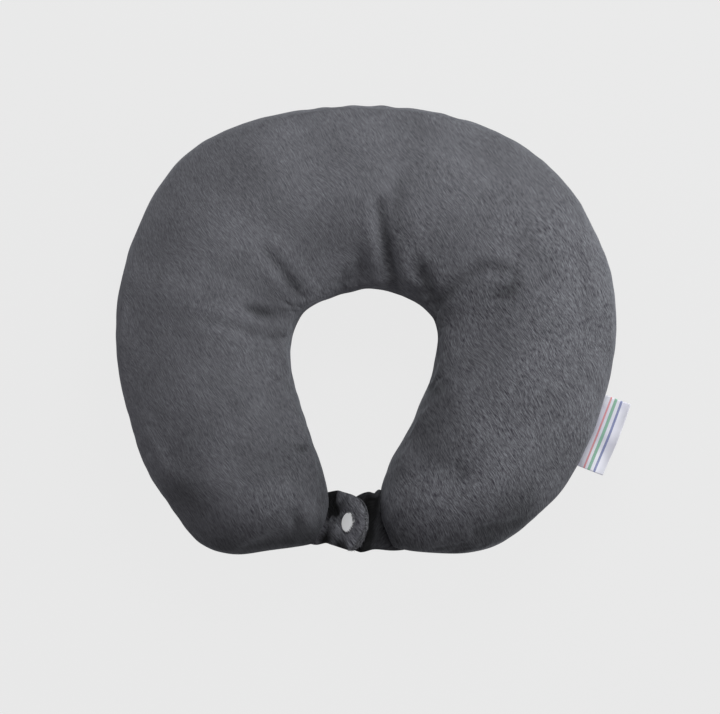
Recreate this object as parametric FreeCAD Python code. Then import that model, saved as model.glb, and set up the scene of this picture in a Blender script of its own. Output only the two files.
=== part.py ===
"""U-shaped neck pillow: two plush panels sewn round a fibre filling, and two plush tabs that close
the tips with a press snap. A folded ribbon label is caught in the outer seam.

The pillow lies flat. X runs across the arms, +Y points to the back of the neck, +Z is up, and
the origin is under the middle of the whole object, on the surface that it rests on.
Millimetres. Each piece is written to parts/NODE.step.
"""

import FreeCAD
import Part
import math
import os

from FreeCAD import Placement, Rotation, Vector

# ---- the stuffed body ----------------------------------------------------------------------
BACK_HALF_HEIGHT = 46.0   # half the thickness of the stuffed tube behind the neck
ARM_HALF_HEIGHT = 44.5    # the arms are a little slimmer
SEAM_Z = 43.0             # height of the perimeter seam: the pillow settles flat underneath
TIP_ROUND = 44.0          # length over which the thickness closes to the seam across a tip
TIP_STATIONS = [0.06, 1.2, 4.0, 9.0, 16.5, 26.0, 36.0]   # distances of the sections from a tip
SPANS = 11                # between the sections of the rest of the tube
PLUSH = 3.0               # knitted backing and pile together
PRESSED = 1.2             # plush as it is pinched in the seam
ALLOWANCE = 8.0           # width of the seam allowance, turned inside
STITCH_IN = 1.5           # from the outside of the plush to the line of stitching
THREAD = 0.6              # sewing thread
CLOSING = 95.0            # length of seam left open for the filling, then closed by hand
CLOSING_AT = 0.30         # where that is, as a share of the tube's length from the left tip

# Outer and inner outline at matching places, from the left tip round the back to the right tip.
OUTLINE = [
    ((-96.0, -133.4), (-31.5, -131.0)),
    ((-123.5, -105.0), (-24.6, -110.0)),
    ((-142.2, -66.0), (-31.2, -76.0)),
    ((-153.8, -14.0), (-46.5, -27.0)),
    ((-147.2, 43.0), (-43.2, 5.0)),
    ((-112.0, 105.5), (-28.0, 16.3)),
    ((-54.6, 130.3), (-11.0, 21.9)),
    ((4.6, 135.7), (5.0, 23.3)),
    ((63.0, 125.6), (20.5, 19.2)),
    ((117.0, 91.5), (36.0, 9.4)),
    ((148.4, 27.0), (41.8, -8.0)),
    ((145.6, -35.0), (35.0, -37.0)),
    ((126.8, -83.0), (16.9, -74.0)),
    ((104.5, -112.0), (6.0, -106.0)),
    ((76.0, -134.0), (14.0, -133.5)),
]

# ---- tabs and snap -------------------------------------------------------------------------
GAP = 0.3                 # between pieces of different bodies that face each other
TAB_LAYER = 2.1           # one plush layer of a tab
TAB_HALF = 17.5           # half a tab's width, and its reach past the snap
TAB_TURN = -13.0          # the slope's direction in plan, from +X
TAB_TILT = 50.0           # the snapped tabs slope up to the right
SNAP_AT = Vector(-9.4, -118.2, 51.0)    # on the face where the two tabs meet
UPPER_HINGE = -18.0       # along the slope from the snap to the upper tab's bend
UNDER_HINGE = 9.5         # and to the under tab's bend
TAB_OPEN = 42.0           # how far each tab turns when the snap is opened
LINK = 2.0                # thickness of a tab between its bend and the seam
LINK_TRIM = 1.0           # the sewn end is narrower than the tab by this on each side
UNDER_TRIM = 0.5          # and the under tab is narrower than the upper one
HELD = 6.0                # length of a tab or label caught in the seam
UPPER_SEAM = [(-31.0, -131.0), (-24.4, -100.0)]   # where each tab enters its tip's inner seam
UNDER_SEAM = [(13.5, -133.0), (5.2, -101.0)]
INTO_LEFT = Vector(-0.97, 0.2, 0)                 # and which way its end lies inside
INTO_RIGHT = Vector(0.97, 0.2, 0)

CAP_RADIUS = 6.2          # size 20 resin snap
CAP_THICK = 1.5
CAP_PROUD = 0.4
CAP_EDGE = 0.8            # rounding of the cap's rim
PIN_RADIUS = 1.0
STUD_RADIUS = 4.9
STUD_THICK = 1.0
NUB_BASE = 2.3
NUB_TIP = 1.6
NUB_LENGTH = 1.8
SOCKET_RADIUS = 5.2
SOCKET_HOLE = 2.5
SOCKET_FLOOR = 0.6

# ---- label ---------------------------------------------------------------------------------
LABEL_AT = Vector(136.5, -62.2, SEAM_Z)
LABEL_TURN = -21.5        # of the seam there, from +Y
LABEL_WIDTH = 46.5        # along the seam
LABEL_OUT = 15.6          # how far it stands out
LABEL_BEND = 3.4          # from its inner edge out to the line where it flexes
RIBBON = 0.35
SLIT = 0.07               # between the ribbon's two layers
OVERLAP = 0.1             # of solids that are fused

UP = Vector(0, 0, 1)
ACROSS = Vector(0, 1, 0)
FAR = 400.0
TAB_FRAME = Placement(SNAP_AT, Rotation(UP, TAB_TURN) * Rotation(ACROSS, -TAB_TILT))
LABEL_FRAME = Placement(LABEL_AT, Rotation(UP, LABEL_TURN))
UPPER_MIDDLE = TAB_LAYER            # mid-thickness of each tab, off the face where they meet
UNDER_MIDDLE = -GAP - TAB_LAYER


def slab(low, high):
    """Everything between two heights."""
    return Part.makeBox(2 * FAR, 2 * FAR, high - low, Vector(-FAR, -FAR, low))


def placed(shape, placement):
    moved = shape.copy()
    moved.Placement = placement.multiply(shape.Placement)
    return moved


def disc(radius, low, high):
    """A disc on the snap's axis, in the tabs' frame."""
    return Part.makeCylinder(radius, high - low, Vector(0, 0, low))


# ---- the stuffed body ----------------------------------------------------------------------
def outline_curves():
    """The outer and inner outline as curves of the distance along the tube's middle."""
    middle = [(Vector(*o, 0) + Vector(*i, 0)) / 2 for o, i in OUTLINE]
    along = [0.0]
    for a, b in zip(middle, middle[1:]):
        along.append(along[-1] + (b - a).Length)
    curves = []
    for side in (0, 1):
        curve = Part.BSplineCurve()
        curve.interpolate(Points=[Vector(*pair[side], 0) for pair in OUTLINE], Parameters=along)
        curves.append(curve)
    return curves[0], curves[1], along[-1]


OUTER, INNER, LENGTH = outline_curves()


def half_height(s, inset):
    """Half the thickness at a distance s along the tube: full at the back, closed at each tip."""
    bulge = math.sin(math.pi * s / LENGTH) ** 2
    full = ARM_HALF_HEIGHT + (BACK_HALF_HEIGHT - ARM_HALF_HEIGHT) * bulge - inset
    reach = TIP_ROUND - inset
    to_tip = min(s, LENGTH - s) - inset
    if to_tip >= reach:
        return full
    return full * math.sqrt(1 - (1 - to_tip / reach) ** 2)


def across_at(s):
    """Middle of the tube in plan, the direction across it, and half its width."""
    outer, inner = OUTER.value(s), INNER.value(s)
    across = (outer - inner) / 2
    half_width = across.Length
    return (outer + inner) / 2, across.normalize(), half_width


def stations(inset):
    """Distances along the tube for its sections, closer together where a tip rounds off."""
    starts = [inset + d * (TIP_ROUND - inset) / TIP_ROUND for d in TIP_STATIONS]
    middle = [TIP_ROUND + (LENGTH - 2 * TIP_ROUND) * k / SPANS for k in range(SPANS + 1)]
    return starts + middle + [LENGTH - d for d in reversed(starts)]


def section(s, inset, corners=12):
    """One closed section across the tube, an ellipse from the outer to the inner outline."""
    centre, across, half_width = across_at(s)
    width, height = half_width - inset, half_height(s, inset)
    points = []
    for k in range(corners):
        turn = 2 * math.pi * k / corners
        side = across * (width * math.cos(turn))
        points.append(centre + side + UP * (SEAM_Z + height * math.sin(turn)))
    ring = Part.BSplineCurve()
    ring.interpolate(Points=points, PeriodicFlag=True)
    return Part.Wire(ring.toShape())


def body(inset):
    """The stuffed tube, shrunk all round by inset and settled flat underneath."""
    wires = [section(s, inset) for s in stations(inset)]
    return Part.makeLoft(wires, True, False).cut(slab(-FAR, inset))


def plan(inset):
    """The tube's outline in plan as a face, shrunk all round by inset."""
    sides = []
    for side in (1, -1):
        points = []
        for s in stations(inset):
            centre, across, half_width = across_at(s)
            points.append(centre + across * (side * (half_width - inset)))
        curve = Part.BSplineCurve()
        curve.interpolate(Points=points)
        sides.append(curve)
    edges = [curve.toShape() for curve in sides]
    edges.append(Part.makeLine(sides[0].StartPoint, sides[1].StartPoint))
    edges.append(Part.makeLine(sides[0].EndPoint, sides[1].EndPoint))
    return Part.Face(Part.Wire(Part.__sortEdges__(edges)))


def at_seam(face, low, high):
    """A face in plan, made solid from low to high as counted from the seam."""
    raised = face.copy()
    raised.translate(UP * (SEAM_Z + low))
    return raised.extrude(UP * (high - low))


def opening_block():
    """A block round the stretch of outer seam that is closed after filling."""
    middle = OUTER.value(LENGTH * CLOSING_AT)
    half = CLOSING / 2
    return Part.makeBox(CLOSING, CLOSING, 2 * half, middle - Vector(half, half, half) + UP * SEAM_Z)


def largest(shape):
    """The main solid, without the slivers that a cut can leave."""
    return max(shape.Solids, key=lambda solid: solid.Volume)


def stuffed_body(roots):
    """The two panels, the filling and the stitching, with room for what the seam holds."""
    skin, lining = body(0), body(PLUSH)
    held = Part.makeCompound(roots)
    seam = at_seam(plan(STITCH_IN), -PRESSED, PRESSED)
    seam = seam.cut(at_seam(plan(STITCH_IN + THREAD), -PRESSED, PRESSED)).cut(held)
    opening = opening_block()
    pieces = {"closing_stitch": seam.common(opening), "perimeter_stitch": seam.cut(opening)}

    cavity_top = lining.common(slab(SEAM_Z + PRESSED, FAR))
    cavity_low = lining.common(slab(-FAR, SEAM_Z - PRESSED))
    between = at_seam(plan(PLUSH + ALLOWANCE), -PRESSED, PRESSED)
    front = skin.common(slab(SEAM_Z, FAR)).cut(cavity_top).cut(between)
    back = skin.common(slab(-FAR, SEAM_Z)).cut(cavity_low).cut(between)
    pieces["front_panel"] = largest(front.cut(seam).cut(held))
    pieces["back_panel"] = largest(back.cut(seam).cut(held))
    pieces["fibre_fill"] = between.fuse([cavity_top, cavity_low]).removeSplitter().cut(held)
    return pieces


# ---- tabs, in the frame of the snap: X up the slope, Y across, Z off the face ---------------
def tab_plan(side, bend, half):
    """A tab's outline: straight sides from its bend, and a round end past the snap."""
    far, near = Vector(0, half, 0), Vector(0, -half, 0)
    end = Part.Arc(far, Vector(side * half, 0, 0), near).toShape()
    root = [Vector(bend, -half, 0), Vector(bend, half, 0)]
    edges = [end, Part.makeLine(near, root[0]), Part.makeLine(root[0], root[1]),
             Part.makeLine(root[1], far)]
    return Part.Face(Part.Wire(edges))


def plate(side, bend, half, low, high):
    face = tab_plan(side, bend, half)
    face.translate(UP * low)
    return face.extrude(UP * (high - low))


def tab_layers(side, bend, half, middle):
    """The two layers of a tab, round at the bend, and the thread inside their edge."""
    round_bend = Part.makeCylinder(TAB_LAYER, 2 * half, Vector(bend, -half, middle), ACROSS)
    whole = plate(side, bend, half, middle - TAB_LAYER, middle + TAB_LAYER).fuse(round_bend)
    inside = half - STITCH_IN
    thread = plate(side, bend, inside, middle - THREAD / 2, middle + THREAD / 2)
    thread = thread.cut(plate(side, bend - side, inside - THREAD, middle - THREAD, middle + THREAD))
    upper = whole.common(slab(middle, FAR)).cut(thread)
    lower = whole.common(slab(-FAR, middle)).cut(thread)
    return upper, lower, thread


def upper_tab():
    """The tab on the left tip, with the snap's cap and stud."""
    face, backing, thread = tab_layers(1, UPPER_HINGE, TAB_HALF, UPPER_MIDDLE)
    top = 2 * TAB_LAYER
    cap_low = top + CAP_PROUD - CAP_THICK
    cap = disc(CAP_RADIUS, cap_low, cap_low + CAP_THICK)
    rim = [edge for edge in cap.Edges if edge.BoundBox.ZMin > cap_low + CAP_THICK / 2]
    cap = cap.makeFillet(CAP_EDGE, rim).fuse(disc(PIN_RADIUS, STUD_THICK / 2, cap_low + OVERLAP))
    nub = Part.makeCone(NUB_TIP, NUB_BASE, NUB_LENGTH, Vector(0, 0, -NUB_LENGTH))
    stud = disc(STUD_RADIUS, 0, STUD_THICK).fuse(nub).cut(disc(PIN_RADIUS, STUD_THICK / 2, top))
    hole = disc(CAP_RADIUS, cap_low, FAR).fuse(disc(STUD_RADIUS, -FAR, STUD_THICK))
    hole = hole.fuse(disc(PIN_RADIUS, 0, top))
    return {"upper_tab_face": face.cut(hole), "upper_tab_backing": backing.cut(hole),
            "upper_tab_stitch": thread, "snap_cap": cap.removeSplitter(),
            "snap_stud": stud.removeSplitter()}


def under_tab():
    """The tab on the right tip, with the snap's socket and the cap that holds it from below."""
    face, backing, thread = tab_layers(-1, UNDER_HINGE, TAB_HALF - UNDER_TRIM, UNDER_MIDDLE)
    top, bottom = -GAP, -GAP - 2 * TAB_LAYER
    floor = top - NUB_LENGTH - GAP
    socket = disc(SOCKET_RADIUS, floor - SOCKET_FLOOR, top).cut(disc(SOCKET_HOLE, floor, FAR))
    cap_top = bottom - CAP_PROUD + CAP_THICK
    cap = disc(CAP_RADIUS, cap_top - CAP_THICK, cap_top)
    rim = [edge for edge in cap.Edges if edge.BoundBox.ZMax < cap_top - CAP_THICK / 2]
    pin = disc(PIN_RADIUS, cap_top - OVERLAP, floor - SOCKET_FLOOR)
    cap = cap.makeFillet(CAP_EDGE, rim).fuse(pin)
    hole = disc(SOCKET_RADIUS, floor - SOCKET_FLOOR, FAR).fuse(disc(CAP_RADIUS, -FAR, cap_top))
    hole = hole.fuse(disc(PIN_RADIUS, cap_top, floor))
    return {"under_tab_face": face.cut(hole), "under_tab_backing": backing.cut(hole),
            "under_tab_stitch": thread, "snap_socket": socket, "socket_cap": cap.removeSplitter()}


def strip_end(middle, along, thick_way, half, thick):
    """A rectangle across a tab or label, to be joined to the next by a loft."""
    a, t = along * half, thick_way * (thick / 2)
    corners = [middle - a - t, middle + a - t, middle + a + t, middle - a + t]
    return Part.makePolygon(corners + corners[:1])


def tab_root(side, bend, bend_middle, seam, into):
    """The end of a tab that is sewn into the seam, from behind the open tab to inside the pillow."""
    across = TAB_FRAME.Rotation.multVec(ACROSS)
    bend_at = TAB_FRAME.multVec(Vector(bend, 0, bend_middle))
    behind_open = Rotation(ACROSS, -TAB_OPEN).multVec(UP * side)
    behind_open = TAB_FRAME.Rotation.multVec(behind_open)
    start = bend_at + behind_open * (TAB_LAYER + GAP + LINK / 2)
    seam_near, seam_far = (Vector(*point, SEAM_Z) for point in seam)
    seam_at = (seam_near + seam_far) / 2
    seam_way = (seam_far - seam_near).normalize()
    half = TAB_HALF - LINK_TRIM
    wires = [strip_end(start, across, behind_open, half, LINK),
             strip_end(seam_at, seam_way, UP, half, LINK),
             strip_end(seam_at + into * HELD, seam_way, UP, half, LINK)]
    turning = Part.makeCylinder(TAB_LAYER + GAP, 4 * TAB_HALF, bend_at - across * 2 * TAB_HALF, across)
    return Part.makeLoft(wires, True, True).cut(turning)


# ---- label, in its own frame: X outwards, Y along the seam ---------------------------------
def label():
    """A ribbon folded double: its flap, and the end that is held in the seam."""
    half, thick = LABEL_WIDTH / 2, 2 * RIBBON
    flap = Part.makeBox(LABEL_OUT - LABEL_BEND, LABEL_WIDTH, thick, Vector(LABEL_BEND, -half, -RIBBON))
    flap = flap.fuse(Part.makeCylinder(RIBBON, LABEL_WIDTH, Vector(LABEL_OUT, -half, 0), ACROSS))
    flap = flap.fuse(Part.makeCylinder(RIBBON, LABEL_WIDTH, Vector(LABEL_BEND, -half, 0), ACROSS))
    slit = Part.makeBox(LABEL_OUT - LABEL_BEND - 3 * RIBBON, LABEL_WIDTH, SLIT,
                        Vector(LABEL_BEND - 3 * RIBBON, -half, -SLIT / 2))
    clear = Part.makeCylinder(RIBBON + GAP, LABEL_WIDTH, Vector(LABEL_BEND, -half, 0), ACROSS)
    root = Part.makeBox(HELD + LABEL_BEND, LABEL_WIDTH, thick, Vector(-HELD, -half, -RIBBON))
    return flap.cut(slit).removeSplitter(), root.cut(clear)


def pieces():
    """Every piece by its node's name, before the origin is moved under the middle."""
    upper_root = tab_root(1, UPPER_HINGE, UPPER_MIDDLE, UPPER_SEAM, INTO_LEFT)
    under_root = tab_root(-1, UNDER_HINGE, UNDER_MIDDLE, UNDER_SEAM, INTO_RIGHT)
    flap, label_root = (placed(shape, LABEL_FRAME) for shape in label())
    made = stuffed_body([upper_root, under_root, label_root])
    for tab in (upper_tab(), under_tab()):
        made.update({name: placed(shape, TAB_FRAME) for name, shape in tab.items()})
    made.update({"upper_tab_root": upper_root, "under_tab_root": under_root,
                 "side_label": flap, "label_root": label_root})
    return made


def whole_box(made):
    return Part.makeCompound(list(made.values())).optimalBoundingBox(False)


def origin_shift(made):
    box = whole_box(made)
    return Vector(-box.Center.x, -box.Center.y, -box.ZMin)


def main():
    os.makedirs("parts", exist_ok=True)
    made = pieces()
    shift = origin_shift(made)
    for name, shape in made.items():
        shape.translate(shift)
        shape.exportStep(f"parts/{name}.step")
        print(f"{name:20s} {len(shape.Solids)} solids, {shape.Volume:10.1f} mm3, valid {shape.isValid()}")
    box = whole_box(made)
    print("shift", shift, "size", [round(d, 1) for d in (box.XLength, box.YLength, box.ZLength)])


if __name__ == "__main__":
    main()
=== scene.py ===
"""U-shaped plush neck pillow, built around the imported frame: a stuffed cover of two panels, two
tabs with a press snap, and a folded ribbon label. Lengths in this file are in millimetres, in
the frame's axes, and become metres when a mesh is made.
"""

import math

import bpy
import numpy as np
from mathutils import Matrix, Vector


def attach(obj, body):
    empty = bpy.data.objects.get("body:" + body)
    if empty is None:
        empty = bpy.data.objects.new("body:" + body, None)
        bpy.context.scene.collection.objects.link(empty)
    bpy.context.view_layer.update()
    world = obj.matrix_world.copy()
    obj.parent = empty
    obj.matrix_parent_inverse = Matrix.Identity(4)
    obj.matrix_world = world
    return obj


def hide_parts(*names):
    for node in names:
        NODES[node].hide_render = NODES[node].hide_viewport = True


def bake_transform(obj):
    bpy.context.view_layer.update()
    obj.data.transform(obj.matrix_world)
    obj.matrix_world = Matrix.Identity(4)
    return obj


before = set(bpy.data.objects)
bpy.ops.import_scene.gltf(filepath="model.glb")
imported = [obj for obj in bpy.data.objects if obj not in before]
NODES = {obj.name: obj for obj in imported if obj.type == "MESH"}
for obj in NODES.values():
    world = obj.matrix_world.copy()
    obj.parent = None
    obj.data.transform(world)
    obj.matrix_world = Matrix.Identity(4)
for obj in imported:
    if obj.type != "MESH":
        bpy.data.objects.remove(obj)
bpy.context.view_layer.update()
MM = 0.001

# ---- the pillow's own shape, repeated from the part ----
SHIFT = np.array([-2.867, 0.798])       # from the outline's axes to the frame's
OUTLINE = np.array([                    # outer x, y and inner x, y from the left tip to the right
    (-96.0, -133.4, -31.5, -131.0), (-123.5, -105.0, -24.6, -110.0),
    (-142.2, -66.0, -31.2, -76.0), (-153.8, -14.0, -46.5, -27.0),
    (-147.2, 43.0, -43.2, 5.0), (-112.0, 105.5, -28.0, 16.3),
    (-54.6, 130.3, -11.0, 21.9), (4.6, 135.7, 5.0, 23.3),
    (63.0, 125.6, 20.5, 19.2), (117.0, 91.5, 36.0, 9.4),
    (148.4, 27.0, 41.8, -8.0), (145.6, -35.0, 35.0, -37.0),
    (126.8, -83.0, 16.9, -74.0), (104.5, -112.0, 6.0, -106.0),
    (76.0, -134.0, 14.0, -133.5),
])
SEAM_Z = 43.0                           # height of the seam's plane
BACK_HALF, ARM_HALF = 46.0, 44.5        # half the tube's thickness
TIP_ROUND = 44.0                        # a tip's rounding, seen from the side
TIP_CLEAR = 0.02                        # rows of points stop this share of it short of the end
OUTER_CORNER = 6.5, 9.0                 # rounding of a tip's outer corner in plan, left and right
INNER_CORNER = 1.5                      # and of its inner one
CORNER_SWELL = 3.0, 0.3                 # how far the outer corners stand out, left and right
SWELL_AT, SWELL_REACH = 5.0, 13.0       # where they do, from the tip's end
TIP_BULGE = 2.6                         # the tips' flat ends swell a little
OUTER_BULGE = 3.6, 1.6                  # and more on their outer side, left and right
BULGE_AT, BULGE_REACH = 0.7, 0.55       # where that is, in shares of half the tube's width
BULGE_FADE = 20.0                       # both bulges fade out over this way from the tip's end
GROOVE, GROOVE_WIDE = 1.3, 1.7          # the seam sinks into the pile
PUCKER, PUCKER_FADE = 0.4, 9.0          # the seam puckers, less with height above it
FLAT_AT, FLAT_SOFT = 0.15, 0.6          # height at which the underside turns flat, and how gently
TUCKS = ((3.0, 0.5), (8.0, 0.3))        # seam allowance: how far inside, and off the seam's plane


def natural_spline(knots, values):
    """A smooth curve through values, with no bend at its ends."""
    step = np.diff(knots)
    n = len(knots)
    system, right = np.zeros((n, n)), np.zeros((n, values.shape[1]))
    system[0, 0] = system[-1, -1] = 1.0
    for k in range(1, n - 1):
        system[k, k - 1:k + 2] = step[k - 1], 2 * (step[k - 1] + step[k]), step[k]
        slope = (values[k + 1] - values[k]) / step[k] - (values[k] - values[k - 1]) / step[k - 1]
        right[k] = 6 * slope
    bend = np.linalg.solve(system, right)

    def curve(at):
        at = np.asarray(at, float)
        k = np.clip(np.searchsorted(knots, at) - 1, 0, n - 2)
        h = step[k][..., None]
        a = (knots[k + 1] - at)[..., None] / h
        b = 1 - a
        cubic = ((a ** 3 - a) * bend[k] + (b ** 3 - b) * bend[k + 1]) * h ** 2 / 6
        return a * values[k] + b * values[k + 1] + cubic

    return curve


def way_along(points):
    """The way from the first of a row of points to each of them."""
    return np.concatenate([[0], np.cumsum(np.linalg.norm(np.diff(points, axis=0), axis=1))])


ALONG = way_along((OUTLINE[:, :2] + OUTLINE[:, 2:]) / 2)
LENGTH = ALONG[-1]
edges_at = natural_spline(ALONG, OUTLINE)


def unit(v):
    """Vectors scaled to length one."""
    return v / np.maximum(np.linalg.norm(v, axis=-1, keepdims=True), 1e-9)


def along_tube(count):
    """Distances along the tube, closer together where a tip rounds off."""
    tip = TIP_ROUND * math.pi / 2
    whole = 2 * tip + LENGTH - 2 * TIP_ROUND
    walk = np.linspace(TIP_CLEAR * tip, whole - TIP_CLEAR * tip, count)
    near, far = (TIP_ROUND * (1 - np.cos(np.clip(to_end, 0, tip) / TIP_ROUND))
                 for to_end in (walk, whole - walk))
    return np.where(walk < tip, near, np.where(walk > whole - tip, LENGTH - far, walk - tip + TIP_ROUND))


def corner_cut(radius, to_tip):
    """How far a rounded corner draws an edge in, at this distance from the tip's end."""
    return radius - np.sqrt(radius ** 2 - np.clip(radius - to_tip, 0, radius) ** 2)


def tube_at(s):
    """Outer and inner edge in plan, the way across, the way along, and half the thickness."""
    s = np.asarray(s, float)
    both = edges_at(s)
    outer, inner = both[..., :2] + SHIFT, both[..., 2:] + SHIFT
    across = unit(outer - inner)
    ahead = edges_at(np.clip(s + 1, 0, LENGTH)) - edges_at(np.clip(s - 1, 0, LENGTH))
    way = unit(ahead[..., :2] + ahead[..., 2:])
    to_tip = np.minimum(s, LENGTH - s)
    left = s < LENGTH / 2
    swell = np.where(left, *CORNER_SWELL) * np.exp(-((to_tip - SWELL_AT) / SWELL_REACH) ** 2)
    outer = outer + across * (swell - corner_cut(np.where(left, *OUTER_CORNER), to_tip))[..., None]
    inner = inner + across * corner_cut(INNER_CORNER, to_tip)[..., None]
    full = ARM_HALF + (BACK_HALF - ARM_HALF) * np.sin(math.pi * s / LENGTH) ** 2
    closing = 1 - np.clip(1 - to_tip / TIP_ROUND, 0, 1) ** 2
    return outer, inner, across, way, full * np.sqrt(closing)


# ---- small irregularities ----
rng = np.random.default_rng(11)


def make_waves(count, short, long):
    """Wave vectors and phases for a smooth uneven field."""
    way = unit(rng.normal(size=(count, 3)))
    size = rng.uniform(short, long, count)
    return way * (2 * math.pi / size)[:, None], rng.uniform(0, 2 * math.pi, count), size / long


LUMPS = make_waves(16, 34, 95)
PUCKERS = make_waves(14, 9, 26)


def uneven(points, waves):
    """About -1 to 1, smooth, the same at every run."""
    vectors, phases, sizes = waves
    total = np.zeros(points.shape[:-1])
    for vector, phase, size in zip(vectors, phases, sizes):
        total += size * np.sin(points @ vector + phase)
    return total / (0.75 * np.sqrt((sizes ** 2).sum()))


# ---- folds seen in the upper panel ----
# Each fold: points in plan, its depth, its half width, and how much painted shade it lays along its
# crease.
FOLDS = [
    ([(3.5, 73.0), (7.6, 49.5), (10.8, 33.0), (13.2, 24.0)], 4.6, 4.2, 0.95),
    ([(15.5, 88.0), (13.4, 74.0), (15.6, 58.0), (18.0, 44.0)], 1.7, 4.6, 0.5),
    ([(-64.0, 46.0), (-55.4, 35.0), (-44.5, 21.0)], 1.7, 3.6, 0.38),
    ([(-75.0, 12.5), (-68.0, 9.5), (-59.0, 8.0)], 2.2, 3.0, 0.7),
    ([(-104.0, 4.8), (-89.0, 3.0), (-72.0, -3.2), (-54.0, -5.0)], 1.2, 3.4, 0.25),
    ([(41.0, 17.0), (55.5, 30.5), (68.0, 36.8), (83.0, 33.5)], 1.8, 4.0, 0.42),
    ([(84.5, 30.0), (80.0, 22.0), (71.5, 20.0)], 1.1, 3.6, 0.4),
    ([(27.0, 38.0), (35.5, 19.0)], 2.4, 3.8, 0.5),
    ([(-9.5, 46.0), (-7.0, 31.0)], 0.9, 3.4, 0.2),
    ([(31.0, -37.0), (38.0, -36.4)], 1.6, 3.0, 0.6),
    ([(-45.0, -71.5), (-40.0, -72.0)], 1.6, 3.0, 0.6),
    ([(-47.0, -110.0), (-45.5, -122.0)], 1.8, 3.4, 0.5),
    ([(62.0, -122.0), (78.0, -119.0), (93.0, -114.0)], 1.8, 4.0, 0.5),
    ([(50.0, -80.0), (53.0, -86.5), (49.0, -90.0)], 1.0, 3.6, 0.35),
]
FOLD_LIP, LIP_AT = 0.32, 2.1            # a lip's height in fold depths, and place in half widths
FOLD_FROM, FOLD_LONG, FOLD_TAPER = 0.12, 0.83, 0.6     # how a fold runs out at its two ends
FOLD_STEPS = 12                         # places read along each stretch of a fold
FOLD_SHADE_WIDE = 0.85                  # half width of its painted shade, in its own half widths
# Spots of painted shade on the pile, many along the lobes' tips and inner edges: x, y, reach, how much.
PAINTED_SHADE_SPOTS = [
    (-61.0, 14.0, 13.0, 0.45), (-47.0, 27.0, 8.0, 0.45), (80.0, 23.0, 12.0, 0.5),
    (39.0, 15.0, 12.0, 0.75), (29.0, 32.0, 11.0, 0.4), (104.0, 38.0, 9.0, 0.3),
    (51.0, -84.0, 9.0, 0.25), (-79.0, 93.0, 17.0, 0.25), (42.0, -10.0, 13.0, 0.55),
    (40.0, -28.0, 12.0, 0.35), (42.0, -45.0, 14.0, 0.5), (38.0, -72.0, 15.0, 0.6),
    (-45.0, -45.0, 14.0, 0.22), (-44.0, -76.0, 17.0, 0.45), (-66.0, -84.0, 18.0, 0.25),
    (-40.0, -95.0, 14.0, 0.35), (-72.0, -22.0, 26.0, 0.14), (-74.0, -56.0, 22.0, 0.14),
    (113.0, -79.0, 16.0, 0.35), (94.0, -94.0, 15.0, 0.25), (-45.0, -117.0, 11.0, 0.3),
    (-104.0, -106.0, 14.0, 0.4), (-118.0, -98.0, 12.0, 0.6), (-114.0, -78.0, 16.0, 0.35),
    (-130.0, -30.0, 20.0, 0.12), (113.0, 98.0, 24.0, 0.12), (90.0, 70.0, 22.0, 0.1),
    (24.0, -60.0, 11.0, 0.55), (31.0, -36.0, 9.0, 0.35), (17.0, -86.0, 10.0, 0.5),
    (40.0, 110.0, 24.0, 0.18), (-78.0, -78.0, 16.0, 0.12), (-86.0, -130.0, 15.0, 0.7),
    (-62.0, -133.0, 15.0, 0.7), (-40.0, -133.0, 14.0, 0.8), (14.0, -119.0, 11.0, 0.45),
    (22.0, -135.0, 14.0, 0.5), (46.0, -135.0, 15.0, 0.6), (70.0, -130.0, 17.0, 0.8),
    (88.0, -110.0, 15.0, 0.7),
]
DARKEST = 0.8                           # the most that the painted shade of folds and spots darkens the pile
TIP_SHADE = 0.9                         # painted shade round the tips, above and below their seams
TIP_SHADE_REACH = 55.0, 38.0            # along the tube from the left tip and from the right
TIP_SHADE_HEIGHT = 17.0                 # and up and down from the seam
FOLD_FADE, LUMP_FADE = 2.2, 1.5         # folds and lumps come in this fast beside the seam
LUMP = 0.9                              # height of the smooth lumps all over


def folds_and_painted_shade(plan):
    """How far the folds push the surface in, and the painted shade of the folds and the shade spots, 0 to
    1.
    """
    push, dark = np.zeros(plan.shape[:-1]), np.zeros(plan.shape[:-1])
    for points, depth, wide, shade in FOLDS:
        points = np.array(points)
        line = natural_spline(np.arange(len(points), dtype=float), points)
        places = np.linspace(0, len(points) - 1, FOLD_STEPS * len(points))
        path = line(places)
        away = np.linalg.norm(plan[..., None, :] - path, axis=-1)
        nearest = away.argmin(-1)
        away = away.min(-1)
        run = FOLD_FROM + FOLD_LONG * nearest / (len(places) - 1)
        taper = np.sin(math.pi * run) ** FOLD_TAPER
        lip = FOLD_LIP * np.exp(-(away / wide - LIP_AT) ** 2)
        push -= depth * taper * (np.exp(-(away / wide) ** 2) - lip)
        dark += shade * taper * np.exp(-(away / (FOLD_SHADE_WIDE * wide)) ** 2)
    for x, y, reach, shade in PAINTED_SHADE_SPOTS:
        away = np.hypot(plan[..., 0] - x, plan[..., 1] - y) / reach
        dark += shade * np.exp(-away ** 2)
    return push, DARKEST * np.clip(dark, 0, 1)


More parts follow.
